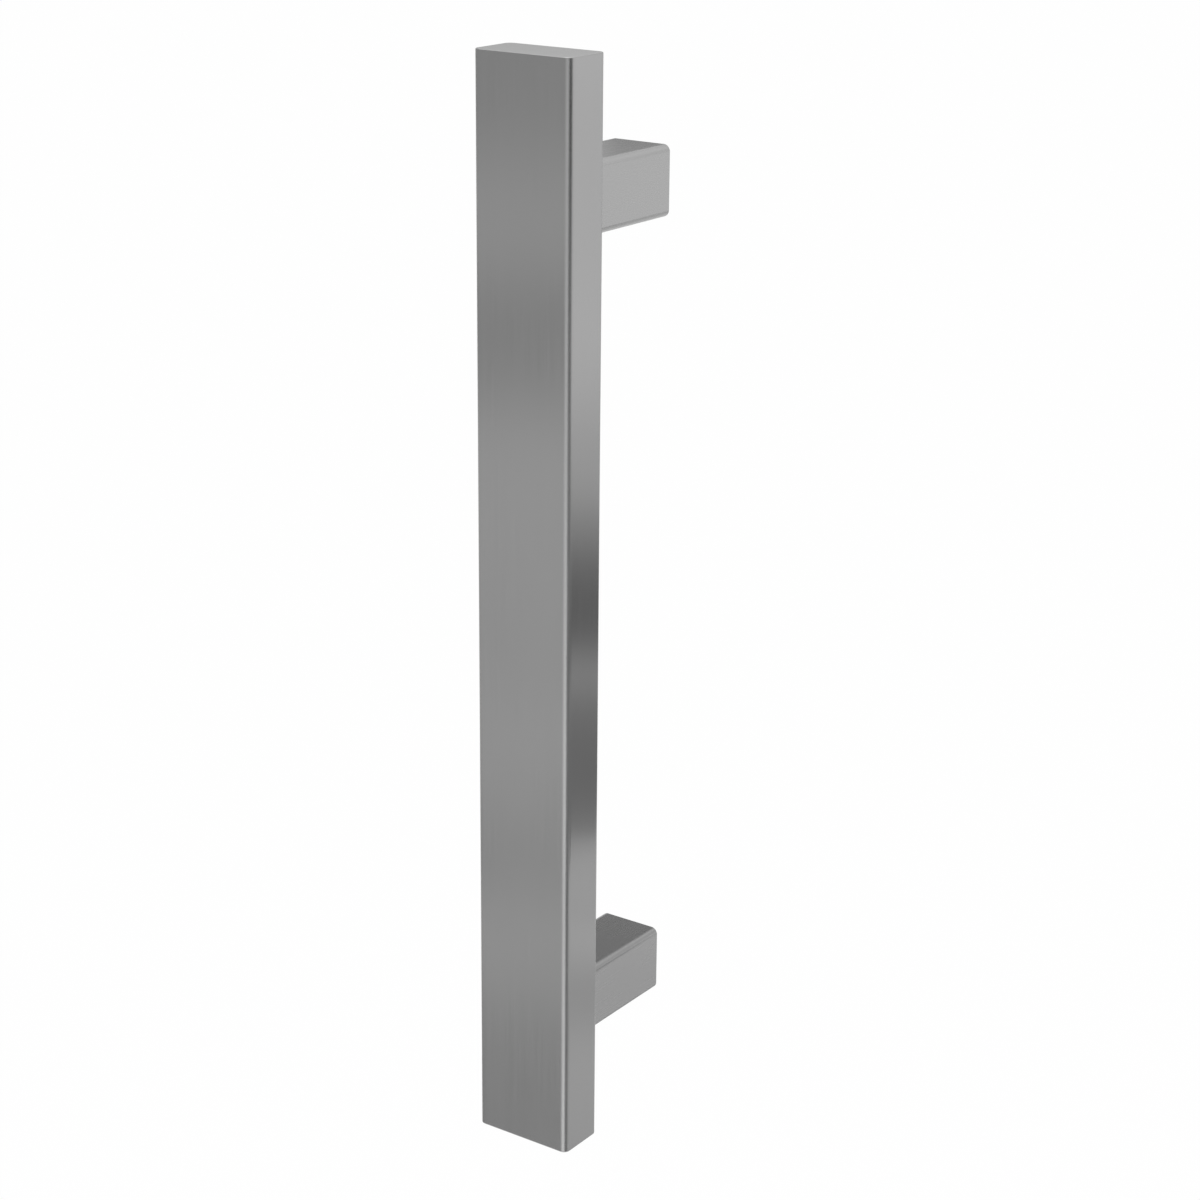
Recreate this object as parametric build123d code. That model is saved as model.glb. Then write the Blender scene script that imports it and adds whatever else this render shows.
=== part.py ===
from build123d import *
import math
import os

# Sliding patio door handle: a flat upright grip bar held off the door by two square posts.
# Millimetres. +X is to the right seen from the front, +Y goes into the door, +Z is up.
# The origin is on the door's face, midway between the two fixings.

# Grip bar: rectangular tube closed by a flat cap at each end, ground flush
bar_overhang = 50.0  # from the middle of a post to the end of the bar
bar_width = 40.0  # along X
bar_depth = 20.0  # along Y
bar_wall = 1.5
bar_edge_radius = 2.5  # the tube's four long edges, outside
bar_bore_radius = 1.0  # the same four edges, inside
cap_thickness = 2.0
cap_edge_radius = 0.4  # polished edge round each end of the bar

# Posts: square tube that runs from the door's face to the back of the bar
fixing_centres = 300.0  # upper post to lower post
projection = 70.0  # door's face to the front of the bar
post_side = 25.4
post_wall = 3.0
post_edge_radius = 2.5  # the tube's four long edges, outside
post_bore_radius = 1.0  # the same four edges, inside
post_end_chamfer = 0.4  # broken edge where the post meets the door

# Joint between post and bar: a cap screw through the post's plug into a plate in the bar
plug_length = 8.0
nut_plate_length = 30.0  # along Z
nut_plate_thickness = 6.0
joint_thread = 7.2  # M8, drawn at its mean thread diameter
joint_hole = 9.0  # clearance hole for the screw in the plug and the bar's back wall
screw_past_plate = 3.0
screw_head_diameter = 13.0
screw_head_height = 8.0
screw_socket_width = 6.0  # across the flats
screw_socket_depth = 4.0
screw_head_chamfer = 0.8
screw_tip_chamfer = 0.7
key_room = 4.0  # free space between the screw's head and the spigot

# Spring washer under the head of each joint screw
washer_inside = 8.2
washer_outside = 12.7
washer_thickness = 2.0
washer_split = 1.2
washer_split_slant = 20.0  # degrees

# Spigot: block that is bolted to the door, and that the post slides over
door_hole = 6.8  # tapping size of the M8 thread that takes the bolt through the door
door_hole_depth = 18.0
drill_point_angle = 118.0
spigot_lead_in = 0.5  # chamfer that guides the post on to the spigot

# Grub screw: through the underside of the post, its point seated in a dimple in the spigot
grub_thread = 5.35  # M6, drawn at its mean thread diameter
grub_length = 6.0
grub_recess = 0.4  # below the post's face
grub_tip = 1.5  # diameter of the flat on the 90 degree point
grub_socket_width = 3.0  # across the flats
grub_socket_depth = 2.6

# Clearances
slide_gap = 0.1  # blocks inside the tubes, on each side
thread_gap = 0.05  # screws in their tapped holes, on the radius
seat_gap = 0.1  # grub screw's point in its dimple, along the screw

# Distances out from the door's face, along -Y
bar_back = projection - bar_depth
bar_middle = projection - bar_depth / 2
plug_start = bar_back - plug_length
washer_start = plug_start - washer_thickness
head_start = washer_start - screw_head_height
spigot_length = head_start - key_room
grub_station = spigot_length / 2
nut_plate_start = bar_back + bar_wall
nut_plate_end = nut_plate_start + nut_plate_thickness
screw_tip = nut_plate_end + screw_past_plate

# Grub screw's point, from the end of its thread to its flat
grub_point = (grub_thread - grub_tip) / 2

# Heights
tube_half = fixing_centres / 2 + bar_overhang - cap_thickness
post_height = fixing_centres / 2


def tube_section(width, depth, wall, edge_radius, bore_radius):
    """Section of a rolled tube, with its own radius outside and inside."""
    outline = RectangleRounded(width, depth, edge_radius)
    bore = RectangleRounded(width - 2 * wall, depth - 2 * wall, bore_radius)
    return outline - bore


def outward(section, start, end):
    """Solid of a section that runs out from the door between two distances."""
    return extrude(Plane.XZ.offset(start) * section, amount=end - start)


def facing_door(piece):
    """Face of a piece that looks into the door."""
    return piece.faces().sort_by(Axis.Y)[-1]


def facing_out(piece):
    """Face of a piece that looks away from the door."""
    return piece.faces().sort_by(Axis.Y)[0]


def grip_bar():
    """Rectangular tube with a screw hole through its back wall behind each post."""
    section = tube_section(bar_width, bar_depth, bar_wall, bar_edge_radius, bar_bore_radius)
    tube = Pos(0, -bar_middle, 0) * extrude(section, amount=tube_half, both=True)
    hole = outward(Circle(joint_hole / 2), bar_back, nut_plate_start)
    for height in (post_height, -post_height):
        tube -= Pos(0, 0, height) * hole
    return tube


def end_cap():
    """Flat cap on the upper end of the tube, with its outer edge polished round."""
    outline = RectangleRounded(bar_width, bar_depth, bar_edge_radius)
    cap = extrude(Pos(0, -bar_middle, tube_half) * outline, amount=cap_thickness)
    rim = cap.faces().sort_by(Axis.Z)[-1].edges()
    return fillet(rim, cap_edge_radius)


def post():
    """Square tube with the grub screw's tapped hole in its underside."""
    section = tube_section(post_side, post_side, post_wall, post_edge_radius, post_bore_radius)
    tube = outward(section, 0, bar_back)
    tube = chamfer(facing_door(tube).outer_wire().edges(), post_end_chamfer)
    tapped = Cylinder(grub_thread / 2 + thread_gap, 2 * post_wall)
    return tube - Pos(0, -grub_station, (post_wall - post_side) / 2) * tapped


def block_section():
    """Section of a block that slides inside a post."""
    side = post_side - 2 * post_wall - 2 * slide_gap
    return RectangleRounded(side, side, post_bore_radius)


def post_plug():
    """Block fixed in the bar end of a post, with the joint screw's clearance hole."""
    plug = outward(block_section(), plug_start, bar_back)
    return plug - outward(Circle(joint_hole / 2), plug_start, bar_back)


def nut_plate():
    """Tapped plate that lies against the bar's back wall, inside the tube."""
    width = bar_width - 2 * bar_wall - 2 * slide_gap
    section = RectangleRounded(width, nut_plate_thickness, bar_bore_radius)
    middle = (nut_plate_start + nut_plate_end) / 2
    plate = Pos(0, -middle, 0) * extrude(section, amount=nut_plate_length / 2, both=True)
    return plate - outward(Circle(joint_thread / 2 + thread_gap), nut_plate_start, nut_plate_end)


def joint_screw():
    """Socket head cap screw from inside the post into the nut plate."""
    head = outward(Circle(screw_head_diameter / 2), head_start, washer_start)
    head = chamfer(facing_door(head).edges(), screw_head_chamfer)
    shank = outward(Circle(joint_thread / 2), washer_start, screw_tip)
    shank = chamfer(facing_out(shank).edges(), screw_tip_chamfer)
    hexagon = RegularPolygon(screw_socket_width / 2, 6, major_radius=False)
    return head + shank - outward(hexagon, head_start, head_start + screw_socket_depth)


def spring_washer():
    """Split ring under the head of the joint screw."""
    ring = Circle(washer_outside / 2) - Circle(washer_inside / 2)
    washer = outward(ring, washer_start, plug_start)
    cutter = Box(washer_split, 2 * washer_thickness, washer_outside / 2)
    slanted = Rot(0, 0, washer_split_slant) * cutter
    middle = (washer_start + plug_start) / 2
    return washer - Pos(0, -middle, (washer_inside + washer_outside) / 4) * slanted


def grub_screw():
    """Socket set screw with a 90 degree point, standing upright in the post's underside."""
    upright = (Align.CENTER, Align.CENTER, Align.MIN)
    body = Cylinder(grub_thread / 2, grub_length - grub_point, align=upright)
    cone = Cone(grub_thread / 2, grub_tip / 2, grub_point, align=upright)
    screw = body + Pos(0, 0, grub_length - grub_point) * cone
    hexagon = RegularPolygon(grub_socket_width / 2, 6, major_radius=False)
    screw -= extrude(hexagon, amount=grub_socket_depth)
    return Pos(0, -grub_station, grub_recess - post_side / 2) * screw


def dimple():
    """90 degree seat in the spigot for the grub screw's point, cut from the post's face."""
    depth = grub_recess + grub_length + grub_tip / 2 + seat_gap
    cone = Cone(depth, 0, depth, align=(Align.CENTER, Align.CENTER, Align.MIN))
    return Pos(0, -grub_station, -post_side / 2) * cone


def door_spigot():
    """Block with a blind tapped hole facing the door and the grub screw's dimple below."""
    block = outward(block_section(), 0, spigot_length)
    block = chamfer(facing_out(block).edges(), spigot_lead_in)
    radius = door_hole / 2
    point_length = radius / math.tan(math.radians(drill_point_angle / 2))
    point = Cone(0, radius, point_length)
    block -= outward(Circle(radius), 0, door_hole_depth)
    block -= Pos(0, -door_hole_depth - point_length / 2, 0) * Rot(-90, 0, 0) * point
    return block - dimple()


def write(name, shape):
    export_step(shape, "parts/" + name + ".step")


os.makedirs("parts", exist_ok=True)

write("grip_bar", grip_bar())
write("upper_end_cap", end_cap())
write("lower_end_cap", mirror(end_cap(), about=Plane.XY))

sides = {"upper": Pos(0, 0, post_height), "lower": Pos(0, 0, -post_height)}

for side, place in sides.items():
    write(side + "_post", place * post())
    write(side + "_post_plug", place * post_plug())
    write(side + "_nut_plate", place * nut_plate())
    write(side + "_door_spigot", place * door_spigot())

write("joint_screws", Compound([place * joint_screw() for place in sides.values()]))
write("spring_washers", Compound([place * spring_washer() for place in sides.values()]))
write("grub_screws", Compound([place * grub_screw() for place in sides.values()]))
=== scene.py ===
import math

import bpy
from mathutils import Matrix, Vector


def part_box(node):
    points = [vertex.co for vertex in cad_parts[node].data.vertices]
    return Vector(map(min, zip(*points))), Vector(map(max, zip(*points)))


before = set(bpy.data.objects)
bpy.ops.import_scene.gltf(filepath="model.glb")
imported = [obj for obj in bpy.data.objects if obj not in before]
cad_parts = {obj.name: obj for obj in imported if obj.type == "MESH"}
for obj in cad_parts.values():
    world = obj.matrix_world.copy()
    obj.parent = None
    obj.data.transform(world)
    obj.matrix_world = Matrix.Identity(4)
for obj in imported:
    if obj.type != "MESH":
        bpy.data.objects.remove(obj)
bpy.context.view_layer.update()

# Sliding patio door handle in satin stainless steel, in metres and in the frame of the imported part.
# The door's face is at y = 0, the bar stands out from it along -Y, and +Z is up.

millimetre = 0.001

# View of the handle, from the right and a little above, aimed from the middle of the bar's front
view_azimuth = 34.95  # degrees to the right of straight ahead
view_elevation = 18.63
view_roll = 0.5
view_distance = 0.9367
view_aside = 0.0274  # how far the bar stands left of the middle of the picture
view_below = 0.0113  # how far the bar's middle stands below the middle of the picture
sensor_width = 36.0
focal_length = 80.41

# Finish of the stainless steel
steel_tone = 0.47
brushed_roughness = 0.23  # sides of the bar
ground_roughness = 0.27  # sides of the posts
end_roughness = 0.18  # ends of the bar
machined_roughness = 0.3  # cut ends of the posts, blocks and fasteners
brush_stretch = 1.0  # how far the brushed bar's highlights widen across the grain
ground_grain = 0.5  # how clear the grain of the posts and ends is beside that of the bar

# Grain of the brushing: how wide and how long one mark is
fine_grain = (0.22 * millimetre, 22 * millimetre)
broad_grain = (1.3 * millimetre, 120 * millimetre)
scratch_grain = (0.35 * millimetre, 60 * millimetre)
cloud_size = 40 * millimetre  # soft patches where the brushing took unevenly

# How much each mark changes the steel's tone and roughness
fine_share = 0.03
broad_share = 0.02
scratch_share = 0.03
cloud_tone = 0.02
cloud_roughness = 0.015
edge_wear_and_highlight_share = 0.02  # rounded edges are rubbed smoother by wear, and made a little lighter in tone as a painted highlight

# Heights of the surface's relief, in millimetres
brush_depth = 0.0012
ground_depth = 0.00025  # where the steel is ground or machined, which leaves it smoother
cutter_depth = 0.004
thread_depth = 0.4
knurl_depth = 0.15

# Depth of the broad marks and scratches beside that of the fine ones
broad_depth = 0.5
scratch_depth = 0.6

# Where something starts to show and where it shows in full
scratch_limits = (0.36, 0.5)  # of the noise that leaves a scratch
flat_limits = (0.8, 0.98)  # how squarely a surface faces one way, from a rounded edge to a flat
end_limits = (0.55, 0.85)  # the same along a piece, from its sides to its ends
face_limits = (0.8, 0.95)  # the same along a hole, from its wall to the face round it
turned_limits = (0.2, 0.5)  # the same along a screw or hole, from what is turned to its ends

# Machined parts: what the cutter leaves, and the threads
cutter_pitch = 0.35 * millimetre
joint_pitch = 1.25 * millimetre
grub_pitch = 1.0 * millimetre
thread_reach = 3.8 * millimetre  # anything round and closer to the axis is a thread
knurl_reach = 6.3 * millimetre  # the rest of a head's round side is knurled
knurl_ridges = 48
screw_height = 150 * millimetre  # of each joint screw above or below the middle
grub_station = 14 * millimetre  # from the door's face to the axis of the grub screws
grub_room = 26 * millimetre  # the grub screws are closer to the door than this
under_head = 40 * millimetre  # from the door's face to the bearing face of the joint screws' heads

# Room
floor_level = -1.65
floor_reach = 30.0
floor_tone = 0.95
floor_glow = 0.85  # how much of the floor is plain white to the camera and the metal
white = (1.0, 1.0, 1.0, 1.0)

# Distances from the handle's middle to the cards that its metal mirrors
far = 2.0  # those that give the bar its bands
near = 0.4  # those that shade the posts and the bar's upper end
close = 0.2  # those that shade the posts' rounded edges
card_steps = 16  # flat strips in each curved card


class Wire:
    """The output of a node, with the sums that a finish needs written as plain maths."""

    def __init__(self, finish, socket):
        self.finish = finish
        self.socket = socket

    def sum(self, operation, *terms):
        return self.finish.sum(operation, *terms)

    def __add__(self, other):
        return self.sum("ADD", self, other)

    def __radd__(self, other):
        return self.sum("ADD", other, self)

    def __sub__(self, other):
        return self.sum("SUBTRACT", self, other)

    def __rsub__(self, other):
        return self.sum("SUBTRACT", other, self)

    def __mul__(self, other):
        return self.sum("MULTIPLY", self, other)

    def __rmul__(self, other):
        return self.sum("MULTIPLY", other, self)

    def __truediv__(self, other):
        return self.sum("DIVIDE", self, other)

    def __abs__(self):
        return self.sum("ABSOLUTE", self)

    def highest(self, other):
        return self.sum("MAXIMUM", self, other)


class Finish:
    """A material, or the world's light, and its nodes."""

    def __init__(self, name, tree=None):
        if tree is None:
            self.material = bpy.data.materials.new(name)
            self.material.use_nodes = True
            tree = self.material.node_tree
        self.tree = tree
        self.tree.nodes.clear()

    def node(self, kind, settings=None, sockets=None, output=0):
        """A node of any kind: its settings first, then its sockets' values or links."""
        made = self.tree.nodes.new(kind)
        for name, value in (settings or {}).items():
            if name == "stops":
                self.stops(made.color_ramp, value)
            else:
                setattr(made, name, value)
        for name, value in (sockets or {}).items():
            if isinstance(value, Wire):
                self.tree.links.new(value.socket, made.inputs[name])
            else:
                made.inputs[name].default_value = value
        return Wire(self, made.outputs[output]) if made.outputs else None

    def stops(self, ramp, stops):
        """A ramp's tones, each a place and a grey."""
        while len(ramp.elements) < len(stops):
            ramp.elements.new(1.0)
        for element, (place, tone) in zip(ramp.elements, stops):
            element.position = place
            element.color = grey(tone)

    def place(self):
        """Where a point of the piece lies, in metres."""
        return self.node("ShaderNodeTexCoord", output="Object")

    def facing(self):
        """The direction that the surface faces."""
        return self.node("ShaderNodeNewGeometry", output="Normal")

    def parts(self, vector):
        """The X, Y and Z of a vector."""
        return [self.node("ShaderNodeSeparateXYZ", {}, {0: vector}, axis) for axis in range(3)]

    def squareness(self, axis):
        """1 where the surface is square to an axis, 0 where it runs along it."""
        return abs(self.parts(self.facing())["XYZ".index(axis)])

    def flatness(self):
        """1 on a face square to any axis of the handle, less where an edge is rounded."""
        across, inward, upward = (abs(part) for part in self.parts(self.facing()))
        return across.highest(inward).highest(upward)

    def times(self, vector, factors):
        return self.node("ShaderNodeVectorMath", {"operation": "MULTIPLY"}, {0: vector, 1: factors})

    def noise(self, vector, scale):
        return self.node("ShaderNodeTexNoise", {}, {"Vector": vector, "Scale": scale})

    def step(self, value, limits):
        """0 before the first limit, 1 after the last and smooth between them."""
        settings = {"interpolation_type": "SMOOTHSTEP"}
        return self.node("ShaderNodeMapRange", settings, {0: value, 1: limits[0], 2: limits[1]})

    def before(self, value, end):
        """1 below an end, 0 above it."""
        return self.sum("LESS_THAN", value, end)

    def blend(self, share, first, second):
        """The first value where the share is 0, the second where it is 1."""
        return first + (second - first) * share

    def sum(self, operation, *terms):
        return self.node("ShaderNodeMath", {"operation": operation}, dict(enumerate(terms)))

    def radius(self, across, up):
        return self.sum("SQRT", across * across + up * up)

    def angle(self, across, up):
        return self.sum("ARCTAN2", across, up)

    def wave(self, distance, pitch):
        """Even ridges across a distance, from -1 to 1."""
        return self.sum("SINE", distance * (2 * math.pi / pitch))

    def saw(self, turns):
        """Sharp ridges, one for each turn, from 0 to 1."""
        return 2 * self.sum("PINGPONG", turns, 0.5)

    def tone(self, value):
        """A grey of that brightness."""
        return self.node("ShaderNodeCombineColor", {}, {0: value, 1: value, 2: value})

    def bump(self, height):
        """The surface's facing with its relief, whose height is in millimetres."""
        sockets = {"Height": height, "Distance": millimetre, "Strength": 1.0}
        return self.node("ShaderNodeBump", {}, sockets)

    def surface(self, shader):
        self.node("ShaderNodeOutputMaterial", {}, {"Surface": shader})


def grey(tone):
    return (tone, tone, tone, 1.0)


def streaks(finish, along, grain):
    """Noise drawn out along one axis of the piece, as brushing leaves it, from -1 to 1."""
    width, length = grain
    factors = [1 / width, 1 / width, 1 / width]
    factors["XYZ".index(along)] = 1 / length
    return 2 * finish.noise(finish.times(finish.place(), factors), 1.0) - 1


def steel(finish, along, roughness, stretch=0.0, depth=brush_depth, relief=0.0, grain=1.0):
    """Shader of stainless steel with its grain along one axis, clearer or fainter by its grain.
    Depth and relief are in millimetres: the grain's height, and that of anything cut into it."""
    fine = streaks(finish, along, fine_grain)
    broad = streaks(finish, along, broad_grain)
    clouds = 2 * finish.noise(finish.place(), 1 / cloud_size) - 1
    scratches = finish.step(streaks(finish, along, scratch_grain), scratch_limits)
    edge = 1 - finish.step(finish.flatness(), flat_limits)
    brushing = grain * (fine_share * fine + broad_share * broad)
    scoring = scratch_share * grain * scratches
    # Rounded edges: smoother from wear, and a little lighter in tone as a painted highlight
    edge_wear_and_highlight = edge_wear_and_highlight_share * edge
    tone = steel_tone * (1 + brushing + cloud_tone * clouds - scoring + edge_wear_and_highlight)
    rough = roughness + brushing + cloud_roughness * clouds + scoring - edge_wear_and_highlight
    marks = fine + broad_depth * broad - scratch_depth * scratches
    sockets = {
        "Base Color": finish.tone(tone),
        "Metallic": 1.0,
        "Roughness": rough,
        "Anisotropic": stretch,
        "Normal": finish.bump(depth * marks + relief),
    }
    return finish.node("ShaderNodeBsdfPrincipled", {}, sockets)


def bar_finish():
    """Brushed along the bar."""
    finish = Finish("bar_steel")
    finish.surface(steel(finish, "Z", brushed_roughness, brush_stretch))
    return finish.material


def ended(finish, axis, sides, end):
    """One finish on a piece's sides, another on its ends, which are square to an axis."""
    share = finish.step(finish.squareness(axis), end_limits)
    finish.surface(finish.node("ShaderNodeMixShader", {}, {0: share, 1: sides, 2: end}))
    return finish.material


def cap_finish():
    """Sides brushed in one go with the bar, end face ground across it."""
    finish = Finish("cap_steel")
    sides = steel(finish, "Z", brushed_roughness, brush_stretch)
    end = steel(finish, "X", end_roughness, depth=ground_depth, grain=ground_grain)
    return ended(finish, "Z", sides, end)


def post_finish():
    """Sides ground along the post, ends sawn and faced across it."""
    finish = Finish("post_steel")
    sides = steel(finish, "Y", ground_roughness, depth=ground_depth, grain=ground_grain)
    end = steel(finish, "X", machined_roughness)
    return ended(finish, "Y", sides, end)


def joint_axis(finish):
    """How far a point lies from the axis of its joint screw, and at what angle round it."""
    across, _, height = finish.parts(finish.place())
    rise = abs(height) - screw_height
    return finish.radius(across, rise), finish.angle(across, rise)


def thread(finish, station, angle, pitch):
    """Height of a screw thread, in millimetres."""
    return thread_depth * finish.saw(station / pitch + angle / (2 * math.pi))


def block_finish():
    """Machined blocks: rings round the hole on their faces, cutter marks on their sides, thread."""
    finish = Finish("block_steel")
    inward = finish.parts(finish.place())[1]
    square = finish.squareness("Y")
    radius, angle = joint_axis(finish)
    on_face = finish.step(square, face_limits)
    in_hole = (1 - finish.step(square, turned_limits)) * finish.before(radius, thread_reach)
    rings = finish.wave(radius, cutter_pitch)
    feed = finish.wave(inward, cutter_pitch)
    marks = cutter_depth * finish.blend(on_face, feed, rings)
    relief = finish.blend(in_hole, marks, thread(finish, inward, angle, joint_pitch))
    finish.surface(steel(finish, "X", machined_roughness, depth=ground_depth, relief=relief))
    return finish.material


def fastener_finish():
    """Joint screws with a thread and a knurled head, grub screws with a thread, plain washers."""
    finish = Finish("fastener_steel")
    across, inward, height = finish.parts(finish.place())
    radius, angle = joint_axis(finish)
    turned = 1 - finish.step(finish.squareness("Y"), turned_limits)
    past_head = finish.before(inward, -under_head)
    shank = turned * past_head * finish.before(radius, thread_reach)
    head = turned * (1 - past_head) * (1 - finish.before(radius, knurl_reach))
    knurl = knurl_depth * finish.sum("SINE", angle * knurl_ridges)
    joint = shank * thread(finish, inward, angle, joint_pitch) + head * knurl
    grub_angle = finish.angle(across, inward + grub_station)
    upright = 1 - finish.step(finish.squareness("Z"), turned_limits)
    grub = upright * thread(finish, height, grub_angle, grub_pitch)
    relief = finish.blend(finish.before(inward, -grub_room), grub, joint)
    finish.surface(steel(finish, "Y", machined_roughness, depth=ground_depth, relief=relief))
    return finish.material


def dress(node, material):
    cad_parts[node].data.materials[0] = material


def dress_nodes():
    bar = bar_finish()
    cap = cap_finish()
    post = post_finish()
    block = block_finish()
    fastener = fastener_finish()
    dress("grip_bar", bar)
    for side in ("upper_", "lower_"):
        dress(side + "end_cap", cap)
        dress(side + "post", post)
        for piece in ("post_plug", "nut_plate", "door_spigot"):
            dress(side + piece, block)
    for piece in ("joint_screws", "spring_washers", "grub_screws"):
        dress(piece, fastener)


def heading(angle, elevation=0.0):
    """Unit vector that points away from the handle, at an angle to the right of the front."""
    turn, rise = math.radians(angle), math.radians(elevation)
    flat = math.cos(rise)
    return Vector((math.sin(turn) * flat, -math.cos(turn) * flat, math.sin(rise)))


def make_camera():
    back = heading(view_azimuth, view_elevation)
    right = Vector((0, 0, 1)).cross(back).normalized()
    up = back.cross(right)
    roll = math.radians(view_roll)
    right, up = (
        math.cos(roll) * right + math.sin(roll) * up,
        math.cos(roll) * up - math.sin(roll) * right,
    )
    low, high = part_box("grip_bar")
    target = Vector(((low.x + high.x) / 2, low.y, (low.z + high.z) / 2))
    place = target + back * view_distance + right * view_aside + up * view_below
    data = bpy.data.cameras.new("camera")
    data.sensor_width = sensor_width
    data.lens = focal_length
    camera = bpy.data.objects.new("camera", data)
    bpy.context.scene.collection.objects.link(camera)
    turned = Matrix((right, up, back)).transposed().to_4x4()
    camera.matrix_world = Matrix.Translation(place) @ turned
    bpy.context.scene.camera = camera


def make_world():
    world = bpy.data.worlds.new("room")
    world.use_nodes = True
    bpy.context.scene.world = world
    finish = Finish("room", world.node_tree)
    background = finish.node("ShaderNodeBackground", {}, {"Color": white, "Strength": 1.0})
    finish.node("ShaderNodeOutputWorld", {}, {"Surface": background})


def sheet(name, corners, faces, material):
    """A sheet of the room, which isn't part of the handle."""
    mesh = bpy.data.meshes.new(name)
    mesh.from_pydata(corners, [], faces)
    mesh.materials.append(material)
    made = bpy.data.objects.new(name, mesh)
    bpy.context.scene.collection.objects.link(made)
    return made


def glow(finish, color):
    return finish.node("ShaderNodeEmission", {}, {"Color": color, "Strength": 1.0})


def make_floor():
    """Matt floor that the camera sees as plain white, also by way of metal or glass."""
    finish = Finish("floor")
    camera, glossy, transmission = (
        finish.node("ShaderNodeLightPath", output="Is " + kind + " Ray")
        for kind in ("Camera", "Glossy", "Transmission")
    )
    share = floor_glow * camera.highest(glossy).highest(transmission)
    matt = finish.node("ShaderNodeBsdfDiffuse", {}, {"Color": grey(floor_tone)})
    sockets = {0: share, 1: matt, 2: glow(finish, white)}
    finish.surface(finish.node("ShaderNodeMixShader", {}, sockets))
    ends = (-floor_reach, floor_reach)
    corners = [(across, inward, floor_level) for across in ends for inward in ends]
    sheet("floor", corners, [(0, 2, 3, 1)], finish.material)


def reflector(name, angles, distance, tones):
    """Upright card round the handle, between two headings, that only its metal sees.
    Its tones run up the card, each a height and how bright it is there."""
    finish = Finish(name)
    low, high = tones[0][0], tones[-1][0]
    height = finish.parts(finish.place())[2]
    stops = [((level - low) / (high - low), tone) for level, tone in tones]
    ramp = finish.node("ShaderNodeValToRGB", {"stops": stops}, {0: (height - low) / (high - low)})
    finish.surface(glow(finish, ramp))
    first, last = angles
    strip = (last - first) / card_steps
    columns = [distance * heading(first + strip * step) for step in range(card_steps + 1)]
    corners = [column + Vector((0, 0, level)) for column in columns for level in (low, high)]
    faces = [(left, left + 2, left + 3, left + 1) for left in range(0, 2 * card_steps, 2)]
    card = sheet(name, corners, faces, finish.material)
    card.visible_camera = False
    card.visible_diffuse = False
    card.visible_shadow = False


def make_reflectors():
    """Cards all round the handle, with their tones listed."""
    reflector("left_card", (-100, -8), far, [
        (-1.60, 0.37), (-1.25, 0.37), (-1.16, 0.42), (-1.09, 0.58), (-1.03, 0.57), (-0.96, 0.42),
        (-0.87, 0.54), (-0.80, 0.58), (-0.68, 0.53), (-0.58, 0.58), (-0.445, 0.60), (-0.39, 0.41),
        (-0.31, 0.38), (-0.25, 0.57), (-0.18, 0.56), (-0.12, 0.42), (1.60, 0.44), (3.20, 0.55),
    ])
    reflector("front_card", (-8, 38), far, [
        (-1.60, 1.20), (-1.25, 1.20), (-1.05, 1.05), (-0.80, 1.12), (-0.30, 0.80), (0.80, 0.60),
        (1.60, 0.60),
    ])
    reflector("right_card", (38, 88), far, [
        (-1.60, 0.20), (-0.50, 0.24), (-0.30, 0.20), (-0.10, 0.07), (1.60, 0.20),
    ])
    reflector("back_card", (88, 178), far, [
        (-1.60, 0.60), (-1.32, 0.66), (-1.24, 0.73), (-1.20, 0.53), (-1.15, 0.46), (-1.125, 0.79),
        (-0.975, 0.80), (-0.935, 0.22), (-0.80, 0.26), (-0.76, 0.74), (-0.725, 0.14),
        (-0.64, 0.18), (-0.575, 0.50), (-0.52, 0.69), (-0.475, 0.70), (-0.42, 0.88),
        (-0.12, 0.85), (0.00, 0.95), (0.30, 0.56), (2.40, 0.56),
    ])
    reflector("high_card", (178, 255), near, [
        (-0.60, 0.80), (-0.04, 0.78), (0.01, 0.24), (0.12, 0.24), (0.205, 0.25), (0.235, 0.37),
        (0.255, 0.63), (0.30, 0.70), (0.50, 0.82), (0.90, 0.85),
    ])
    reflector("upper_card", (88, 150), near, [(0.18, 0.85), (0.90, 0.85)])
    reflector("top_card", (150, 178), near, [(0.28, 0.85), (0.90, 0.85)])
    reflector("middle_card", (144, 178), near, [
        (-0.085, 0.64), (-0.048, 0.64), (-0.03, 0.70), (0.0, 0.84),
    ])
    reflector("foot_card", (150, 178), near, [(-0.62, 0.25), (-0.465, 0.33)])
    reflector("edge_card", (152, 178), close, [(-0.03, 0.70), (0.01, 0.73), (0.037, 0.76)])
    reflector("shade_card", (88, 134), close, [(-0.176, 0.25), (-0.12, 0.27)])
    reflector("low_card", (88, 147), close, [(-0.221, 0.66), (-0.18, 0.72)])
    reflector("rear_card", (196, 218), close, [(0.165, 0.23), (0.22, 0.23)])


def lamp(name, angle, elevation, distance, size, power):
    """Square lamp that shines at the handle's middle."""
    data = bpy.data.lights.new(name, "AREA")
    data.shape = "SQUARE"
    data.size = size
    data.energy = power
    made = bpy.data.objects.new(name, data)
    bpy.context.scene.collection.objects.link(made)
    away = heading(angle, elevation)
    made.location = away * distance
    made.rotation_mode = "QUATERNION"
    made.rotation_quaternion = away.to_track_quat("Z", "Y")


def make_lamps():
    lamp("key_lamp", angle=-30, elevation=55, distance=1.6, size=1.2, power=4.0)
    lamp("fill_lamp", angle=80, elevation=50, distance=1.8, size=1.2, power=2.0)


make_camera()
make_world()
make_floor()
make_reflectors()
make_lamps()
dress_nodes()

bpy.context.scene.view_settings.view_transform = "Standard"
